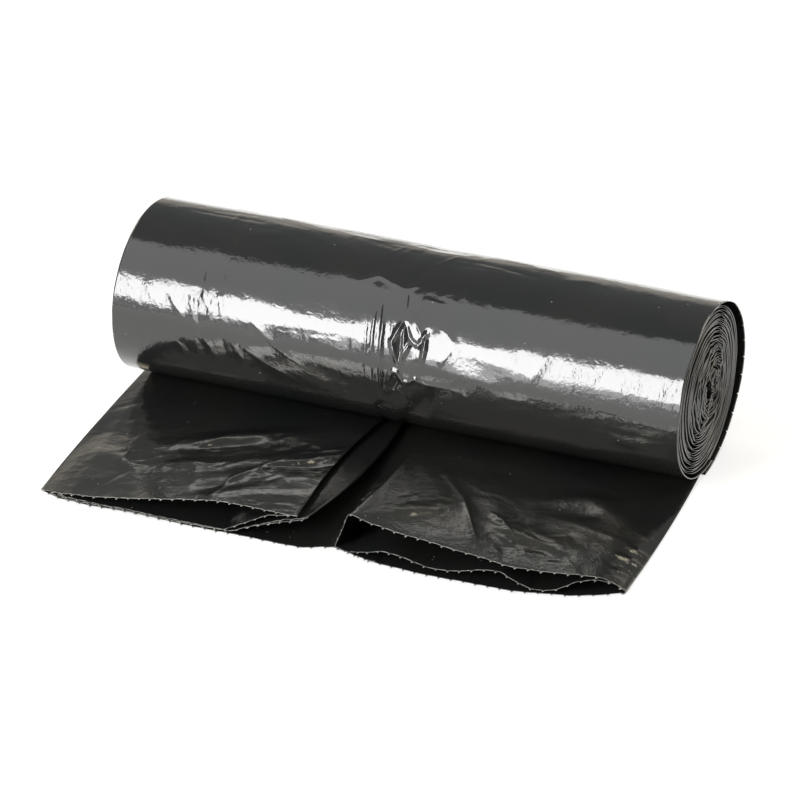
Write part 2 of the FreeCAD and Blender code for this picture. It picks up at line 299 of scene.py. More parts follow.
def in_millimetres(lines):
    """The same lines, with degrees round the roll turned into millimetres."""
    return [(a, b * ROUND, c, d * ROUND, width, height) for a, b, c, d, width, height in lines]


def skin_relief(x, turn):
    """Height of the skin's relief in millimetres: creases, folds and waves added up.

    The waves have lengths from 38 mm down to 3 mm, each lower than the one before.
    """
    run = (turn - 180) * ROUND
    relief = creases(x, run, in_millimetres(SKIN_CREASES))
    relief += creases(x, run, in_millimetres(SKIN_FOLDS), rounded=True)
    strewn = random_creases(5, 46, (-HALF, HALF, -104, 70), (10, 40), (0.9, 2.6), (0.02, 0.07))
    tight = random_creases(9, 26, (-18, 24, -60, 68), (5, 20), (0.5, 1.1), (0.03, 0.11), (40, 140))
    top = random_creases(61, 34, (-84, 40, -20, 2), (10, 34), (1.0, 2.2), (0.10, 0.26), (-14, 12))
    for lines in (strewn, tight, top):
        relief += creases(x, run, lines)
    relief += 0.20 * noise(x / 38, run / 22, 1) + 0.07 * noise(x / 16, run / 12, 2)
    relief += 0.022 * noise(x / 7.3, run / 5.6, 6) + 0.009 * noise(x / 3.4, run / 2.8, 7)
    middle = np.exp(-(((x - 4) / 13) ** 2))
    relief += middle * (0.09 * noise(x / 4.6, run / 11, 3) + 0.03 * noise(x / 2.6, run / 5.0, 4))
    return relief


# %% The skin's mesh
INSIDE = 12.0  # how far the skin runs back in behind its rims
THIN = 0.16  # thickness of the film as drawn
RIM_ZONE = 10  # where the rim's waves begin


def lip_wave(turn, seed):
    """How far the skin's rim wanders along the roll: two waves less the notches."""
    run = turn * ROUND
    at_notch = np.abs(turn / NOTCH_TURN - np.round(turn / NOTCH_TURN)) < 0.01
    notch = NOTCH_DEPTH * at_notch * (turn <= NOTCHED_TO)
    slow, quick = noise(run / 11, run * 0 + 0.5, seed), noise(run / 3, run * 0 + 7.5, seed + 1)
    return 0.30 * slow + 0.06 * quick - notch


def skin_points():
    """The skin's outer side, then round each rim and a little way back inside."""
    x, turn = np.meshgrid(skin_x, skin_turn)
    near = blend(np.abs(x), HALF - RIM_ZONE, HALF)
    moved = x + np.where(x > 0, lip_wave(turn, 21), -lip_wave(turn, 31)) * near
    outer = roll_surface(moved, turn, -skin_relief(x, turn) * (1 - 0.6 * near))
    inner = []
    for side, column in ((-1, 0), (1, -1)):
        edge = outer[:, column]
        steps = np.array([0.0, 0.35, 1.5, 4.0, INSIDE])
        place = edge[:, None, 0] - side * steps[None, :]
        deeper = roll_surface(place, np.repeat(skin_turn[:, None], len(steps), axis=1), THIN + 0.1)
        inner.append(deeper)
    return np.concatenate([inner[0][:, ::-1], outer, inner[1]], axis=1)


def of_the_roll(made):
    """Says that a film object moves with the roll and stands for it."""
    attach(made, "root")
    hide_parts("bag_roll")
    return made


points = skin_points()
# Both rims of the last turn get a painted glint, in the pale colour of torn film
rim = np.zeros(points.shape[:2])
rim[:, 4] = rim[:, -5] = 1
skin = of_the_roll(grid_object("outer_turn", points, marks=rim))

# %% [markdown]
# ## The wound turns at the ends
# Seen from the end, a roll is a spiral of film edges with dark air between them. Each turn is a
# stack of plies, so its edge is a wide ridge beside a narrow one. Near the middle the film was
# started by hand and lies crumpled. One long ribbon with a ridge profile follows the spiral; a
# picture of rings would go flat as soon as the light moved.

# %% The spiral's shape
TURNS, PER_TURN = 19, 150  # turns of the ribbon, and its rows in one turn
# Each point of the profile: share of the pitch, height of the edge in millimetres, painted glint on its
# crest
PROFILE = [(0.00, -6.2, 0), (0.07, -2.6, 0), (0.14, -0.4, 0), (0.18, 0.0, 0.8), (0.22, -0.4, 0)]
PROFILE += [(0.30, -2.6, 0), (0.39, -4.8, 0), (0.47, -3.2, 0), (0.54, -1.0, 0), (0.58, -0.6, 0.7)]
PROFILE += [(0.62, -1.0, 0), (0.72, -3.4, 0), (0.86, -6.2, 0), (1.00, -6.2, 0)]
SHARE, LIFT, CREST_GLINT = np.array(PROFILE).T


def end_points(side, seed):
    """The ribbon of film edges at one end, from the outermost turn to the core.

    Depth goes from 0 at the rim to 1 at the core. There y = radius * sin, z = -radius * cos, both
    with noise that grows toward the core, and x follows the profile's height.
    """
    turned = np.arange(TURNS * PER_TURN) / PER_TURN
    depth = (turned[:, None] + SHARE[None, :]) / (TURNS + 1)
    angle = np.radians(360 * turned)[:, None] + 0 * depth
    radius = 1 - depth
    crumple = np.clip(1.6 * depth - 0.45, 0, 1)
    half_y, half_z = BREADTH - 1.6, HEIGHT - 1.2
    across, up = radius * np.sin(angle), -radius * np.cos(angle)
    wide, wide_up, tight, tight_up = across * 3.3, up * 3.3, across * 9, up * 9
    bend_y = 2.2 * noise(wide + 9, wide_up + 4, seed) + 1.7 * noise(tight, tight_up, seed + 1)
    bend_z = 2.8 * noise(wide + 2, wide_up + 8, seed + 2) + 1.9 * noise(tight, tight_up, seed + 3)
    ripple = 0.18 * noise(angle * 2.6 + 5, turned[:, None] * 0.9, seed + 7)
    uneven = 0.7 * noise(angle * 0.8 + 11, depth * 9, seed + 10) * np.sin(np.pi * depth)
    y = -0.1 + (half_y + ripple + uneven) * across + crumple * bend_y + 4.0 * depth**1.4
    z = HEIGHT + 0.1 + (half_z + ripple + uneven) * up + crumple * bend_z + 1.5 * depth
    each = np.random.default_rng(seed + 8).uniform(-1, 1, TURNS + 2)
    own = np.interp(turned, np.arange(TURNS + 2), each)[:, None]
    wave = noise(angle * 1.4 + 20, depth * 45, seed + 4) + 0.5 * noise(angle * 5, depth * 60, seed + 5)
    second = blend(SHARE, 0.38, 0.46) * noise(angle * 0.9 + 3, turned[:, None] * 1.3, seed + 9)
    height = LIFT[None, :] + 0.5 * own + 0.9 * second + (0.2 + 1.1 * crumple) * wave
    x = HALF - 1.3 + np.minimum(height, 1.0) + 1.2 * blend(depth, 0.3, 0.9)
    return np.stack(np.broadcast_arrays(side * x, y, z), axis=-1)


turns = []
for side, name in ((1, "right_turns"), (-1, "left_turns")):
    points = end_points(side, 40 + side)
    # The crests of the wound edges get a painted glint, in the pale colour of torn film
    tear_and_glint = CREST_GLINT[None, :] * np.ones((len(points), 1))
    if side > 0:
        points, tear_and_glint = points[:, ::-1], tear_and_glint[:, ::-1]
    turns.append(of_the_roll(grid_object(name, points, marks=tear_and_glint)))

# %% [markdown]
# ## The leading bag
# The drawn-out film is a flat tube. Its left and right sides are folded over the middle, so across
# the bag the film runs like a ribbon: out along the table, round the side fold, back over the top
# to the inner fold, and under again. The helper below takes such a ribbon as a list of corners at
# three places along the bag, and bends smoothly from one place to the next.

# %% Outline of the leading bag
NIP_Y = -1.3  # where the bag begins, under the roll
SKEW = 5.5  # how far the bag slants to the right on its way to the mouth
TIE_PITCH, TIE_LENGTH, TIE_WIDTH = 4.6, 1.3, 0.5  # the torn ties of the perforation
# The torn edge, as (x, y)
TORN = [
    (-115, -106), (-108.9, -109.5), (-98.6, -113.0), (-86, -113.4), (-74.2, -112.7),
    (-49.7, -112.6), (-26.2, -111.7), (-10.1, -111.7), (-2.2, -111.4), (3.9, -108.0),
    (9.1, -106.4), (16.2, -108.5), (25.1, -110.9), (41.1, -111.8), (56.4, -111.4), (67.6, -110.5),
    (79.2, -110.4), (89.5, -107.9), (99.8, -105.1), (109.3, -100.3), (118, -95.1),
]
# The two sides of the bag, as (y, x)
LEFT_EDGE = [
    (-115, -108.4), (-109.5, -108.9), (-79.7, -111.6), (-50.3, -113.8), (-20.7, -115.6),
    (4, -116.4),
]
RIGHT_EDGE = [
    (-115, 118.6), (-95.1, 118), (-76.9, 117.7), (-57.9, 116.6), (-30.8, 114.6), (-11.5, 113.6),
    (4, 113),
]


def torn_line(x):
    """Where along y the bag is torn."""
    return np.interp(x, *np.array(TORN).T)


def left_side(y):
    """The bag's left edge along x."""
    return np.interp(y, *np.array(LEFT_EDGE).T)


def right_side(y):
    """The bag's right edge along x."""
    return np.interp(y, *np.array(RIGHT_EDGE).T)


def three_places(nip, middle, mouth, back):
    """A smooth curve through three values, at shares 0 (nip), 1/2 and 1 (mouth) of the way."""
    bend = nip - 2 * middle + mouth
    return nip + (4 * middle - 3 * nip - mouth) * back + 2 * bend * back**2


# %% A ribbon of film
BAG = 113.0  # length of the bag from the nip to the mouth
EVEN_STEP = 0.5  # step of the even points that corners are rounded on
FINE, COARSE = (1.2, 2.0, 2.8, 3.6), (1.6, 3.0)  # columns between two ties, after the first


def smoothed(values, times):
    """Rounds corners along the columns: each point becomes (before + 2 * itself + after) / 4."""
    for _ in range(times):
        values[:, 1:-1] = (values[:, :-2] + 2 * values[:, 1:-1] + values[:, 2:]) / 4
    return values


def tie_columns(length, between):
    """Where columns stand along a ribbon, and which of them are ties.

    Three stand close together at each tie, and the others at the offsets in between.
    """
    offsets = np.array([-TIE_WIDTH, 0, TIE_WIDTH, *between])
    ties = np.arange(int(length / TIE_PITCH) + 1) * TIE_PITCH
    along = (ties[:, None] + offsets[None, :]).ravel()
    tie = np.tile(offsets == 0, len(along) // len(offsets))
    keep = (along > 0) & (along < length)
    return along[keep], tie[keep]


def ribbon(corners, between, rows, relief, rounding, seed):
    """A film shell from (x, z) corners at the nip, the middle and the mouth.

    Each place along the ribbon moves on the curve of three_places from nip to mouth, and relief
    (x, y) is added square to the film. The shell has two sides THIN apart and a closed rim. At
    the mouth each tie stands out by about TIE_LENGTH, which fades out within a few millimetres.
    """
    places = [np.array(place, float) for place in corners]
    lengths = np.concatenate([[0], np.cumsum(np.hypot(*np.diff(places[2], axis=0).T))])
    even = np.linspace(0, lengths[-1], int(lengths[-1] / EVEN_STEP) + 1)
    all_x, all_z = ([np.interp(even, lengths, each[:, axis]) for each in places] for axis in (0, 1))
    spacing = np.concatenate([[0, 0.25, 0.6], np.linspace(1.3, BAG, rows)])
    back = 1 - spacing[:, None] / BAG
    x = three_places(*all_x, back) + SKEW * back
    z = three_places(*all_z, back)
    x, z = smoothed(x, rounding), smoothed(z, rounding)

    along, tie = tie_columns(lengths[-1], between)
    place = along / lengths[-1] * (len(even) - 1)
    before = np.minimum(place.astype(int), len(even) - 2)
    share = place - before
    x = x[:, before] * (1 - share) + x[:, before + 1] * share
    z = z[:, before] * (1 - share) + z[:, before + 1] * share

    draw = np.random.default_rng(seed)
    uneven = 0.35 * noise(along / 7, along * 0 + 0.5, seed)
    uneven += 0.15 * noise(along / 2, along * 0 + 3.5, seed)
    uneven -= tie * TIE_LENGTH * draw.uniform(0.7, 1.2, len(along))
    y = torn_line(x[:1]) * back + NIP_Y * (1 - back) + uneven * np.exp(-spacing[:, None] / 1.2)
    centre = np.stack([x, y, z], axis=-1)
    down, over = np.gradient(centre, axis=0), np.gradient(centre, axis=1)
    normal = np.cross(over, down)
    normal /= np.linalg.norm(normal, axis=-1, keepdims=True) + 1e-9
    calm = blend(-y, 3, 22)
    centre = centre + normal * (relief(x, y) * calm)[..., None]
    centre[..., 2] = np.maximum(centre[..., 2], TABLE_GAP)
    upper, lower = centre + normal * THIN / 2, centre - normal * THIN / 2
    shell = np.concatenate([lower[::-1], upper], axis=0)
    marks = np.zeros(shell.shape[:2])
    mouth = len(lower)
    marks[mouth - 1 : mouth + 1] = np.where(tie, 1.0, draw.uniform(0.15, 0.9, len(along)))
    marks[mouth - 2], marks[mouth + 1] = tie, tie
    return shell, marks


def film_piece(name, *shape):
    """A film object of the roll, with the shell that ribbon makes of the other values."""
    shell, marks = ribbon(*shape)
    return of_the_roll(grid_object(name, shell, marks=marks))


# %% [markdown]
# ### The ply on the table
# The lowest ply lies flat and reaches from side to side. Between the flaps it is what shows in the
# middle of the bag, and its torn ties stick out along the whole front.

# %% Table ply
def table_relief(x, y):
    """Slow waves and a few creases in the ply on the table."""
    strewn = random_creases(14, 24, (-114, 114, -110, 0), (10, 50), (0.8, 2.5), (0.04, 0.18))
    return creases(x, y, strewn) + 0.22 * noise(x / 22, y / 22, 15) + 0.22


left_nip, left_middle, left_mouth = -115.6, -116.0, -114.4
right_nip, right_middle, right_mouth = 113.2, 113.9, 112.5
table_corners = [
    [(left_nip, 0.3), (-30, 0.3), (30, 0.3), (right_nip, 0.3)],
    [(left_middle, 0.3), (-30, 0.3), (30, 0.3), (right_middle, 0.3)],
    [(left_mouth, 0.3), (-30, 0.3), (30, 0.3), (right_mouth, 0.3)],
]
table_film = film_piece("table_film", table_corners, COARSE, 60, table_relief, 2, 3)

# %% [markdown]
# ### The left flap
# It rises from its side fold to the inner fold, 14 mm off the table at the mouth, and turns back
# under itself. Below it the gusset's fold shows as a second lip. The film was crumpled in the
# packing, so creases run from the roll toward the mouth and cross each other near the side.

# %% Left flap
def swells(x, y, domes):
    """Sum of domes: height * exp(-(a / length)^2 - (b / width)^2) for each dome.

    A dome is (x, y, angle, length, width, height); a and b are the distances along and across it.
    """
    total = np.zeros(np.broadcast(x, y).shape)
    for middle_x, middle_y, angle, length, width, height in domes:
        cosine, sine = np.cos(np.radians(angle)), np.sin(np.radians(angle))
        a = (x - middle_x) * cosine + (y - middle_y) * sine
        b = (y - middle_y) * cosine - (x - middle_x) * sine
        total += height * np.exp(-((a / length) ** 2) - (b / width) ** 2)
    return total


def flap_relief(x, y, domes, listed, strewn, seed):
    """A flap's domes, its listed and strewn creases and two slow waves, added up."""
    relief = swells(x, y, domes) + creases(x, y, listed)
    for lines in strewn:
        relief += creases(x, y, lines)
    return relief + 0.55 * noise(x / 36, y / 30, seed) + 0.14 * noise(x / 15, y / 11, seed + 1)


LEFT_DOMES = [
    (-52, -57, 30, 24, 8, 2.4),
    (-54, -62, 26, 17, 4.2, -2.0),
    (-58, -80, 14, 12, 4, 0.8),
    (-24, -66, 22, 18, 5, 1.0),
    (-22, -72, 20, 13, 3, -0.7),
    (-92, -82, -30, 14, 6, 0.8),
    (-38, -96, 40, 14, 5, -0.7),
    (-16, -97, 30, 12, 6, 0.5),
]
LEFT_CREASES = [
    (-39.6, -112, -38.9, -90, 0.9, 0.45),
    (-39.2, -92, -32.2, -74, 0.9, 0.52),
    (-33.0, -75, -16.5, -65, 1.0, 0.60),
    (-30, -63.5, -8.5, -47, 1.0, 0.50),
    (-20, -66.5, -9, -52, 0.9, 0.45),
    (-63, -80.5, -50, -81.5, 0.7, 0.30),
    (-53, -81.8, -46, -76, 0.7, 0.30),
    (-59, -86.5, -47, -83.5, 0.7, 0.25),
    (-70, -70, -64, -80, 0.8, 0.40),
    (-64, -66, -51, -47, 0.8, 0.35),
    (-27, -79, -6, -72, 1.0, -0.30),
    (-86.4, -105, -80.0, -90, 0.6, -0.22),
    (-80.5, -71, -76.0, -54, 0.6, 0.22),
    (-74.2, -58, -72.0, -45, 0.6, 0.20),
    (-87.5, -87, -88.5, -70, 0.6, 0.18),
    (-83.0, -84, -72.0, -74, 0.7, 0.18),
    (-70, -84, -46, -83, 1.2, 0.35),
    (-48, -83, -38, -70, 1.2, 0.30),
    (-74, -70, -70, -52, 1.1, 0.32),
]


def left_relief(x, y):
    """Relief of the left flap, with small crumples by its side, corner, swirl and fold."""
    by_side = random_creases(
        52, 46, (-112, -76, -104, -34), (5, 18), (0.6, 1.4), (0.04, 0.17), (-30, 60)
    )
    by_corner = random_creases(55, 18, (-30, 0, -112, -84), (5, 14), (0.7, 1.2), (0.04, 0.13), (0, 50))
    by_swirl = random_creases(58, 26, (-68, -36, -66, -48), (3, 10), (0.9, 1.5), (0.14, 0.32), (30, 66))
    by_fold = random_creases(59, 24, (-32, -10, -86, -52), (3, 12), (0.9, 1.5), (0.14, 0.32), (30, 66))
    strewn = random_creases(56, 24, (-100, 0, -110, -14), (8, 30), (1.0, 2.4), (0.04, 0.14), (-20, 60))
    lines = (by_side, by_corner, by_swirl, by_fold, strewn)
    return flap_relief(x, y, LEFT_DOMES, LEFT_CREASES, lines, 53) * blend(x - left_side(y), 0, 7)


left_corners = [
    [
        (-113, 0.1), (left_nip, 0.5), (-112, 1.7), (-100, 1.8), (-80, 1.9), (-60, 2.0), (-40, 2.1),
        (-24, 2.2), (-10.4, 2.2), (-10.0, 2.0), (-10.4, 1.8), (-20, 1.7), (-36, 1.5), (-70, 1.3),
        (-109, 1.0),
    ],
    [
        (-114, 0.1), (left_middle, 0.4), (-106, 2.2), (-94, 3.3), (-78, 4.4), (-60, 5.6),
        (-43, 7.0), (-28, 8.3), (-12.3, 8.8), (-11.8, 8.5), (-12.3, 8.2), (-25, 6.2), (-40, 0.9),
        (-74, 0.8), (-111, 0.7),
    ],
    [
        (-112, 0.1), (left_mouth, 0.3), (-99.7, 3.6), (-87.4, 5.0), (-75.4, 6.8), (-55, 11.0),
        (-41, 13.3), (-24, 13.6), (-8.1, 13.8), (-7.6, 13.5), (-8.1, 13.1), (-20, 11.0),
        (-38.6, 0.9), (-74, 0.9), (-109.5, 0.9),
    ],
]
left_film = film_piece("left_flap_film", left_corners, FINE, 100, left_relief, 4, 5)

# %% Left gusset
def gusset_relief(x, y):
    """Relief of the gusset and of the film inside the right mouth: creases, a nick and a wave."""
    folds = random_creases(61, 22, (-70, 110, -112, -10), (8, 40), (0.9, 2.0), (0.04, 0.12), (60, 120))
    nick = [(1.0, -48.8, -1.6, -43.6, 0.5, 0.30), (1.0, -49.0, -1.8, -51.2, 0.5, 0.30)]
    return creases(x, y, folds) + creases(x, y, nick) + 0.12 * noise(x / 14, y / 16, 62)


gusset_corners = [
    [
        (-106, 0.8), (-70, 0.9), (-40, 0.9), (-25, 1.0), (-12, 1.1), (-5, 1.2), (-4.5, 1.35),
        (-5, 1.5), (-16, 1.5), (-34, 1.3),
    ],
    [
        (-107, 1.2), (-70, 1.3), (-44, 1.3), (-32, 2.0), (-17, 4.2), (-1.9, 5.4), (-0.9, 5.6),
        (-1.9, 5.8), (-13, 6.6), (-36, 1.5),
    ],
    [
        (-106, 1.6), (-70, 1.7), (-34.7, 1.5), (-27.6, 5.0), (-15, 9.6), (-4.9, 12.8), (-4.4, 13.0),
        (-4.9, 13.2), (-14, 10.8), (-31, 3.6),
    ],
]
gusset_film = film_piece("left_gusset_film", gusset_corners, COARSE, 60, gusset_relief, 3, 7)

# %% [markdown]
# ### The right flap
# This flap stands higher. Its top dips toward the side and its inner side comes down to the table
# as a steep wall. A second film waves up and down inside, which makes the torn mouth look like a
# row of small caves.

# %% Right flap
RIGHT_DOMES = [
    (80, -50, 28, 17, 5.0, 1.0),
    (88, -58, 30, 9, 4.0, -0.6),
    (95, -52, -30, 12, 5, 0.8),
    (34, -92, 50, 14, 6, 0.9),
    (75, -86, -20, 18, 6, 1.0),
    (84, -92, -15, 10, 4, -0.8),
    (56, -78, -50, 14, 5, -0.6),
]
RIGHT_CREASES = [
    (43.6, -68, 62.0, -101, 0.9, 0.80),
    (29.0, -52, 45.0, -71, 0.8, 0.40),
    (57, -74.5, 64.5, -79.8, 0.8, 0.45),
    (63, -78, 71.5, -89, 0.8, 0.45),
    (80, -66, 116, -71.5, 1.3, 0.30),
    (68, -80, 88, -88, 0.9, -0.32),
    (66, -90, 82, -98, 0.9, 0.30),
    (88, -86, 101, -103, 0.9, 0.35),
    (24, -98, 30, -78, 0.6, 0.20),
    (21, -97, 27, -77, 0.6, -0.18),
    (121, -77, 107, -80, 1.2, 0.75),
    (121, -84, 108, -88, 1.2, -0.70),
    (121, -70, 108, -72, 1.0, 0.50),
    (121, -91, 110, -96, 1.2, 0.60),
    (120, -60, 106, -60, 1.4, 0.40),
    (70, -30, 104, -38, 2.2, 0.35),
]


def right_relief(x, y):
    """Relief of the right flap, with rough film near its inner fold and near its side."""
    rough = random_creases(72, 44, (26, 46, -98, -74), (3, 11), (0.6, 1.1), (0.05, 0.16))
    rough_too = random_creases(73, 60, (60, 94, -104, -76), (3, 13), (0.6, 1.2), (0.06, 0.20))
    strewn = random_creases(76, 26, (10, 114, -108, -14), (8, 34), (1.0, 2.6), (0.04, 0.14), (-60, 30))
    lines = (rough, rough_too, strewn)
    return flap_relief(x, y, RIGHT_DOMES, RIGHT_CREASES, lines, 77) * blend(right_side(y) - x, -1, 6)


right_corners = [
    [
        (110, 0.1), (right_nip, 0.5), (110, 1.7), (100, 1.8), (85, 1.9), (70, 2.0), (55, 2.1),
        (40, 2.2), (22, 2.2), (5.2, 2.3), (4.5, 2.0), (4.4, 1.2), (5.0, 0.7), (24, 0.7),
    ],
    [
        (111, 0.1), (right_middle, 0.4), (110.5, 1.7), (100, 4.4), (86, 5.8), (69, 6.8), (55, 7.8),
        (40, 8.9), (24, 9.8), (11.2, 10.4), (10.5, 9.9), (8.6, 5.0), (7.6, 0.8), (26, 0.8),
    ],
    [
        (110, 0.1), (right_mouth, 0.3), (108.4, 4.9), (104, 7.8), (95.7, 9.4), (85.2, 9.9),
        (70.9, 10.8), (50.8, 13.6), (40.1, 15.0), (10.6, 17.1), (9.9, 16.6), (7.0, 8.5), (3.7, 0.8),
        (22, 0.8),
    ],
]
from_inside = [corners[::-1] for corners in right_corners]
right_film = film_piece("right_flap_film", from_inside, FINE, 100, right_relief, 8, 9)

# %% Film inside the right mouth
wave_corners = [
    [
        (10, 0.9), (19, 1.0), (24, 1.1), (32, 1.1), (42, 1.1), (51, 1.1), (63, 1.1), (70, 1.1),
        (75, 1.1), (81, 1.1), (85, 1.1), (90, 1.1), (96, 1.1), (103, 1.1), (108, 1.1), (111, 0.9),
    ],
    [
        (10, 1.0), (19, 3.0), (24, 4.0), (32, 3.8), (42, 2.8), (51, 3.0), (63, 4.4), (70, 4.7),
        (75, 3.4), (81, 1.6), (85, 1.4), (90, 2.0), (96, 3.2), (103, 3.4), (108, 2.4), (111, 1.0),
    ],
    [
        (10, 1.0), (19.2, 4.4), (24.2, 6.3), (32.1, 5.9), (42.5, 3.6), (50.9, 4.1), (63.2, 6.9),
        (70.1, 7.7), (75.4, 4.7), (81.2, 1.8), (85.4, 1.8), (89.5, 2.5), (95.8, 6.1), (102.7, 7.0),
        (108.4, 4.5), (111.8, 1.7),
    ],
]
wave_film = film_piece("right_inner_film", wave_corners, COARSE, 60, gusset_relief, 8, 11)

# %% [markdown]
# ## The film's finish
# The film is blown polyethylene, coloured through with carbon black. It is very glossy, but its
# surface is never flat: fine crinkles break up every reflection. A picture could hold them, but it
# would repeat; noise does not. The crinkles, the faint dust, the pale torn edges and a painted glint
# on film edges are one node group that every film material can use, and the shader itself stays in
# the material. The loose bag has a painted warm sheen: its film mirrors more warmly and with more
# gloss than the tight last turn.

# %% Node helpers
def node(tree, kind, **values):
    """A new node with some of its properties set."""
    made = tree.nodes.new(kind)
    for key, value in values.items():
        setattr(made, key, value)
    return made


def feed(tree, socket, value):
    """Links an output to a socket, or sets the socket itself to a plain value."""
    if isinstance(value, bpy.types.NodeSocket):
        tree.links.new(value, socket)
    else:
        socket.default_value = value


def maths(tree, operation, *terms):
    """The output of a Math node whose inputs are the terms."""
    made = node(tree, "ShaderNodeMath", operation=operation)
    for socket, term in zip(made.inputs, terms):
        feed(tree, socket, term)
    return made.outputs[0]


def mapped(tree, source, low, high, start, end):
    """A value that goes from start to end while the source goes from low to high."""
    made = node(tree, "ShaderNodeMapRange")
    names = ("Value", "From Min", "From Max", "To Min", "To Max")
    for name, value in zip(names, (source, low, high, start, end)):
        feed(tree, made.inputs[name], value)
    return made.outputs["Result"]


def mixed(tree, share, first, second):
    """The colour that goes from first to second while share goes from 0 to 1."""
    made = node(tree, "ShaderNodeMix", data_type="RGBA")
    for place, value in ((0, share), (6, first), (7, second)):
        feed(tree, made.inputs[place], value)
    return made.outputs[2]


def lumps(tree, place, scale, detail=2.0, distortion=0.0):
    """Noise of 0 to 1 with lumps about 1 / scale metres wide."""
    made = node(tree, "ShaderNodeTexNoise")
    names = ("Vector", "Scale", "Detail", "Distortion")
    for name, value in zip(names, (place, scale, detail, distortion)):
        feed(tree, made.inputs[name], value)
    return made.outputs["Fac"]


# %% The film's node group
SOOT, FADED = (0.0145, 0.0160, 0.0160, 1), (0.021, 0.0205, 0.0185, 1)
# The second colour is pale torn film, and also a painted glint on film edges
DUST, TEAR_AND_GLINT_PALE = (0.32, 0.31, 0.29, 1), (0.48, 0.475, 0.46, 1)
# Scale, detail, distortion and share of each size of crinkle
CRINKLES = ((60, 3, 0.9, 0.42), (330, 2, 0.6, 0.12), (900, 2, 0.4, 0.11))


def film_group():
    """A group with named inputs that gives the film's colour, roughness and height.

    Height is the sum of three crinkles, with the finest in patches only. Colour goes from soot
    to faded in patches, then to dust in rare specks, then to pale where the film is torn and where
    a painted glint lies on film edges.
    """
    group = bpy.data.node_groups.new("film_surface", "ShaderNodeTree")
    face = group.interface
    for name, value in (("Crinkle", 1.0), ("Tear And Glint", 0.0)):
        socket = face.new_socket(name=name, in_out="INPUT", socket_type="NodeSocketFloat")
        socket.default_value = value
    face.new_socket(name="Color", in_out="OUTPUT", socket_type="NodeSocketColor")
    face.new_socket(name="Roughness", in_out="OUTPUT", socket_type="NodeSocketFloat")
    face.new_socket(name="Height", in_out="OUTPUT", socket_type="NodeSocketFloat")
    given = node(group, "NodeGroupInput").outputs
    result = node(group, "NodeGroupOutput").inputs
    place = node(group, "ShaderNodeTexCoord").outputs["Object"]

    heights = [maths(group, "MULTIPLY", lumps(group, place, *size), share) for *size, share in CRINKLES]
    patchy = mapped(group, lumps(group, place, 24), 0.46, 0.62, 0.2, 1.0)
    finest = maths(group, "MULTIPLY", heights[2], patchy)
    total = maths(group, "ADD", maths(group, "ADD", heights[0], heights[1]), finest)
    feed(group, result["Height"], maths(group, "MULTIPLY", total, given["Crinkle"]))

    patches = lumps(group, place, 28, 3)
    ramp = node(group, "ShaderNodeValToRGB")
    for stop, position, colour in zip(ramp.color_ramp.elements, (0.35, 0.75), (SOOT, FADED)):
        stop.position, stop.color = position, colour
    feed(group, ramp.inputs["Fac"], patches)
    specks = node(group, "ShaderNodeTexVoronoi")
    specks.inputs["Scale"].default_value = 230
    feed(group, specks.inputs["Vector"], place)
    dot = mapped(group, specks.outputs["Distance"], 0.05, 0.08, 0.8, 0.0)
    drawn = node(group, "ShaderNodeSeparateColor")
    feed(group, drawn.inputs["Color"], specks.outputs["Color"])
    rare = maths(group, "GREATER_THAN", drawn.outputs[0], 0.78)
    dusty = mixed(group, maths(group, "MULTIPLY", dot, rare), ramp.outputs["Color"], DUST)
    feed(group, result["Color"], mixed(group, given["Tear And Glint"], dusty, TEAR_AND_GLINT_PALE))

    haze = mapped(group, patches, 0.0, 1.0, 0.07, 0.18)
    feed(group, result["Roughness"], maths(group, "MULTIPLY_ADD", given["Tear And Glint"], 0.3, haze))
    return group


film_surface = film_group()


# %% Film materials
def film_material(name, crinkle, depth, tint, gloss, coat):
    """Glossy black film: the group feeds colour, roughness and bump of one shader.

    Crinkle scales the height and depth is the bump's reach in metres. The tint colours what the
    film mirrors, gloss scales it, and the coat adds a clear layer.
    """
    material = bpy.data.materials.new(name)
    material.use_nodes = True
    tree = material.node_tree
    shader = tree.nodes["Principled BSDF"]
    shader.inputs["IOR"].default_value = 1.52
    shader.inputs["Specular Tint"].default_value = (*tint, 1)
    shader.inputs["Specular IOR Level"].default_value = gloss
    shader.inputs["Coat Weight"].default_value = coat
    shader.inputs["Coat Roughness"].default_value = 0.085
    shader.inputs["Coat IOR"].default_value = 1.5
    surface = node(tree, "ShaderNodeGroup", node_tree=film_surface)
    surface.inputs["Crinkle"].default_value = crinkle
    tear_and_glint = node(tree, "ShaderNodeAttribute", attribute_name="tear_and_glint")
    bump = node(tree, "ShaderNodeBump")
    bump.inputs["Distance"].default_value = depth
    tree.links.new(tear_and_glint.outputs["Fac"], surface.inputs["Tear And Glint"])
    tree.links.new(surface.outputs["Color"], shader.inputs["Base Color"])
    tree.links.new(surface.outputs["Roughness"], shader.inputs["Roughness"])
    tree.links.new(surface.outputs["Height"], bump.inputs["Height"])
    tree.links.new(bump.outputs["Normal"], shader.inputs["Normal"])
    tree.links.new(bump.outputs["Normal"], shader.inputs["Coat Normal"])
    return material


BUMP = 0.0006
roll_film = film_material("roll_film", 1.0, BUMP, (1, 1, 1), 0.55, 0.9)
# The loose film's warm tint and higher gloss are a painted warm sheen on its highlights
loose_film_warm_sheen = film_material("loose_film_warm_sheen", 1.2, BUMP, (1, 0.94, 0.80), 0.95, 0.4)
for piece in (skin, *turns):
    piece.data.materials.append(roll_film)
for piece in (table_film, left_film, gusset_film, right_film, wave_film):
    piece.data.materials.append(loose_film_warm_sheen)

# %% [markdown]
# ## Floor, light and camera
# A white floor carries the soft shadow. Black film shows little but reflections, so the lamps are
# placed by what the film mirrors: a bright, low softbox at the front left draws the white stripe
# along the roll, its spill under it lets the stripe fade downward, and a large dim panel above
# gives the grey field over the stripe. Three warm lamps stand behind. The tight roll barely mirrors
# them; tilted facets of the loose film do.

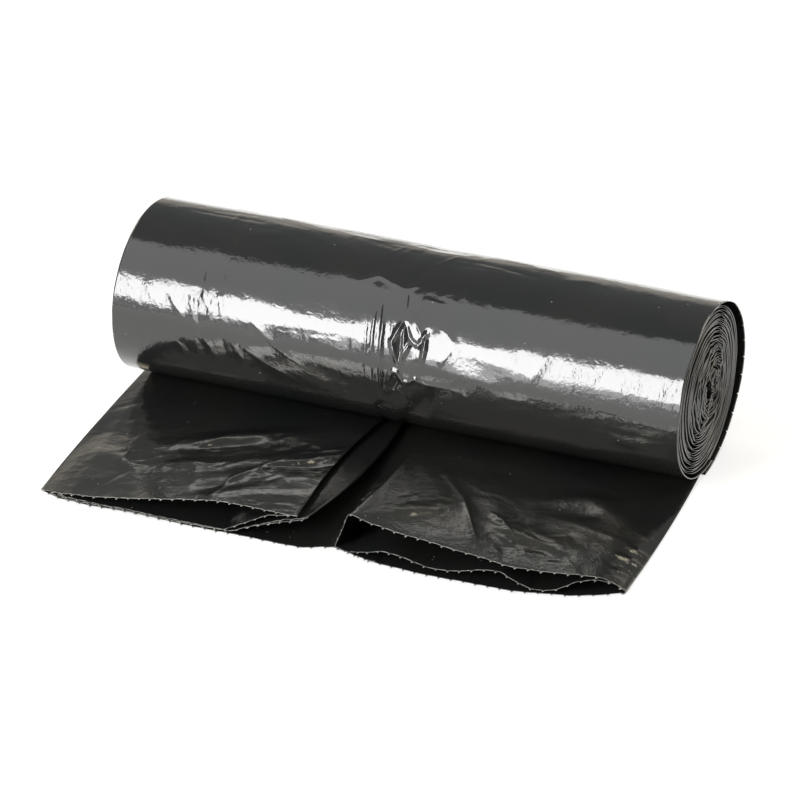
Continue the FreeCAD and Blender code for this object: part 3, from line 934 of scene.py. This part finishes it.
# %% Floor
WHITE = (1, 1, 1, 1)
GLOW = 0.69  # what the paper adds where it is seen, so that it comes out white
bpy.ops.mesh.primitive_plane_add(size=1)
floor = bpy.context.active_object
floor.name = "floor"
floor.data.transform(Matrix.Diagonal((40.0, 40.0, 1.0, 1.0)))
paper = bpy.data.materials.new("floor_paper")
paper.use_nodes = True
tree = paper.node_tree
shader = tree.nodes["Principled BSDF"]
shader.inputs["Base Color"].default_value = (0.52, 0.52, 0.52, 1)
shader.inputs["Roughness"].default_value = 0.9
shader.inputs["Specular IOR Level"].default_value = 0.1
shader.inputs["Emission Color"].default_value = WHITE
seen = node(tree, "ShaderNodeLightPath").outputs
either = maths(tree, "MAXIMUM", seen["Is Camera Ray"], seen["Is Glossy Ray"])
any_seen = maths(tree, "MAXIMUM", either, seen["Is Transmission Ray"])
feed(tree, shader.inputs["Emission Strength"], maths(tree, "MULTIPLY", any_seen, GLOW))
floor.data.materials.append(paper)


# %% Lamps
NEUTRAL = (1, 1, 1)
LAMP_DISTANCE = 3.0
MIDDLE = Vector((0, 0, 0.034))  # the middle of the roll, in metres


def lamp(name, along_x, rise, spread_x, spread_rise, radiance, tint):
    """A rectangular lamp seen from the roll between two directions, with a given radiance.

    A direction is (c, -sqrt(1-c^2) cos r, sqrt(1-c^2) sin r) for c = along_x and r = rise in
    degrees. Power is radiance * pi * area.
    """
    rise, half_rise = np.radians(rise), np.radians(spread_rise) / 2
    level = np.sqrt(1 - along_x**2)
    way = Vector((along_x, -level * np.cos(rise), level * np.sin(rise)))
    data = bpy.data.lights.new(name, "AREA")
    data.shape = "RECTANGLE"
    data.size = spread_x * LAMP_DISTANCE / level
    data.size_y = 2 * LAMP_DISTANCE * level * np.tan(half_rise)
    data.energy = radiance * np.pi * data.size * data.size_y
    data.color = tint
    made = bpy.data.objects.new(name, data)
    back = way.normalized()
    side = Vector((1, 0, 0)) - back * back.x
    side.normalize()
    up = back.cross(side)
    turn = Matrix((side, up, back)).transposed().to_4x4()
    made.matrix_world = Matrix.Translation(way * LAMP_DISTANCE + MIDDLE) @ turn
    bpy.context.scene.collection.objects.link(made)
    print(f"{name}: {data.size:.2f} x {data.size_y:.2f} m, {data.energy:.0f} W")


lamp("softbox", -0.36, 25.5, 0.34, 31, 11.5, NEUTRAL)
lamp("softbox_spill", -0.29, 6.0, 0.16, 8, 3.0, NEUTRAL)
lamp("panel", -0.21, 64.5, 0.82, 47, 1.15, NEUTRAL)
lamp("back_fill", 0.62, 128, 0.3, 34, 3.0, (1, 0.93, 0.8))
lamp("right_window", 0.10, 124, 0.46, 26, 3.0, (1, 0.92, 0.74))
lamp("left_window", -0.74, 123, 0.30, 28, 4.2, (1, 0.93, 0.76))

# %% [markdown]
# The room itself is dim. Low down its walls are lighter and a little warm, which gives the top of
# the roll its thin light line, and low in front everything is white like the table. A ray's height
# decides between them. A picture of a room could do the same, but this can be adjusted by hand.

# %% World and view
WALL, LOW_WALL = (0.18, 0.189, 0.193, 1), (0.55, 0.51, 0.46, 1)
world = bpy.data.worlds.new("room")
bpy.context.scene.world = world
world.use_nodes = True
tree = world.node_tree
axes = node(tree, "ShaderNodeSeparateXYZ")
feed(tree, axes.inputs["Vector"], node(tree, "ShaderNodeTexCoord").outputs["Generated"])
ahead, height = axes.outputs["Y"], axes.outputs["Z"]
walls = mixed(tree, mapped(tree, height, 0.22, 0.34, 1, 0), WALL, LOW_WALL)
low = mapped(tree, height, 0.13, 0.18, 1, 0)
front = maths(tree, "MULTIPLY", low, mapped(tree, ahead, -0.5, -0.2, 1, 0))
feed(tree, tree.nodes["Background"].inputs["Color"], mixed(tree, front, walls, WHITE))
bpy.context.scene.view_settings.view_transform = "Standard"

# %% [markdown]
# The camera was found by lining up the roll's ends, its line on the table and the torn edge with the
# photo: 23 degrees to the right, 28 degrees up, with a long lens.

# %% Camera
TARGET = Vector((8.213, -43.737, 30.0)) * MM
AZIMUTH, ELEVATION, DISTANCE = np.radians(23.059), np.radians(27.986), 1.54826
level = np.cos(ELEVATION)
away = Vector((np.sin(AZIMUTH) * level, -np.cos(AZIMUTH) * level, np.sin(ELEVATION)))
camera_data = bpy.data.cameras.new("camera")
camera_data.lens = 188.05
camera_data.sensor_width = 36
camera = bpy.data.objects.new("camera", camera_data)
camera.location = TARGET + away * DISTANCE
camera.rotation_euler = (-away).to_track_quat("-Z", "Y").to_euler()
bpy.context.scene.collection.objects.link(camera)
bpy.context.scene.camera = camera
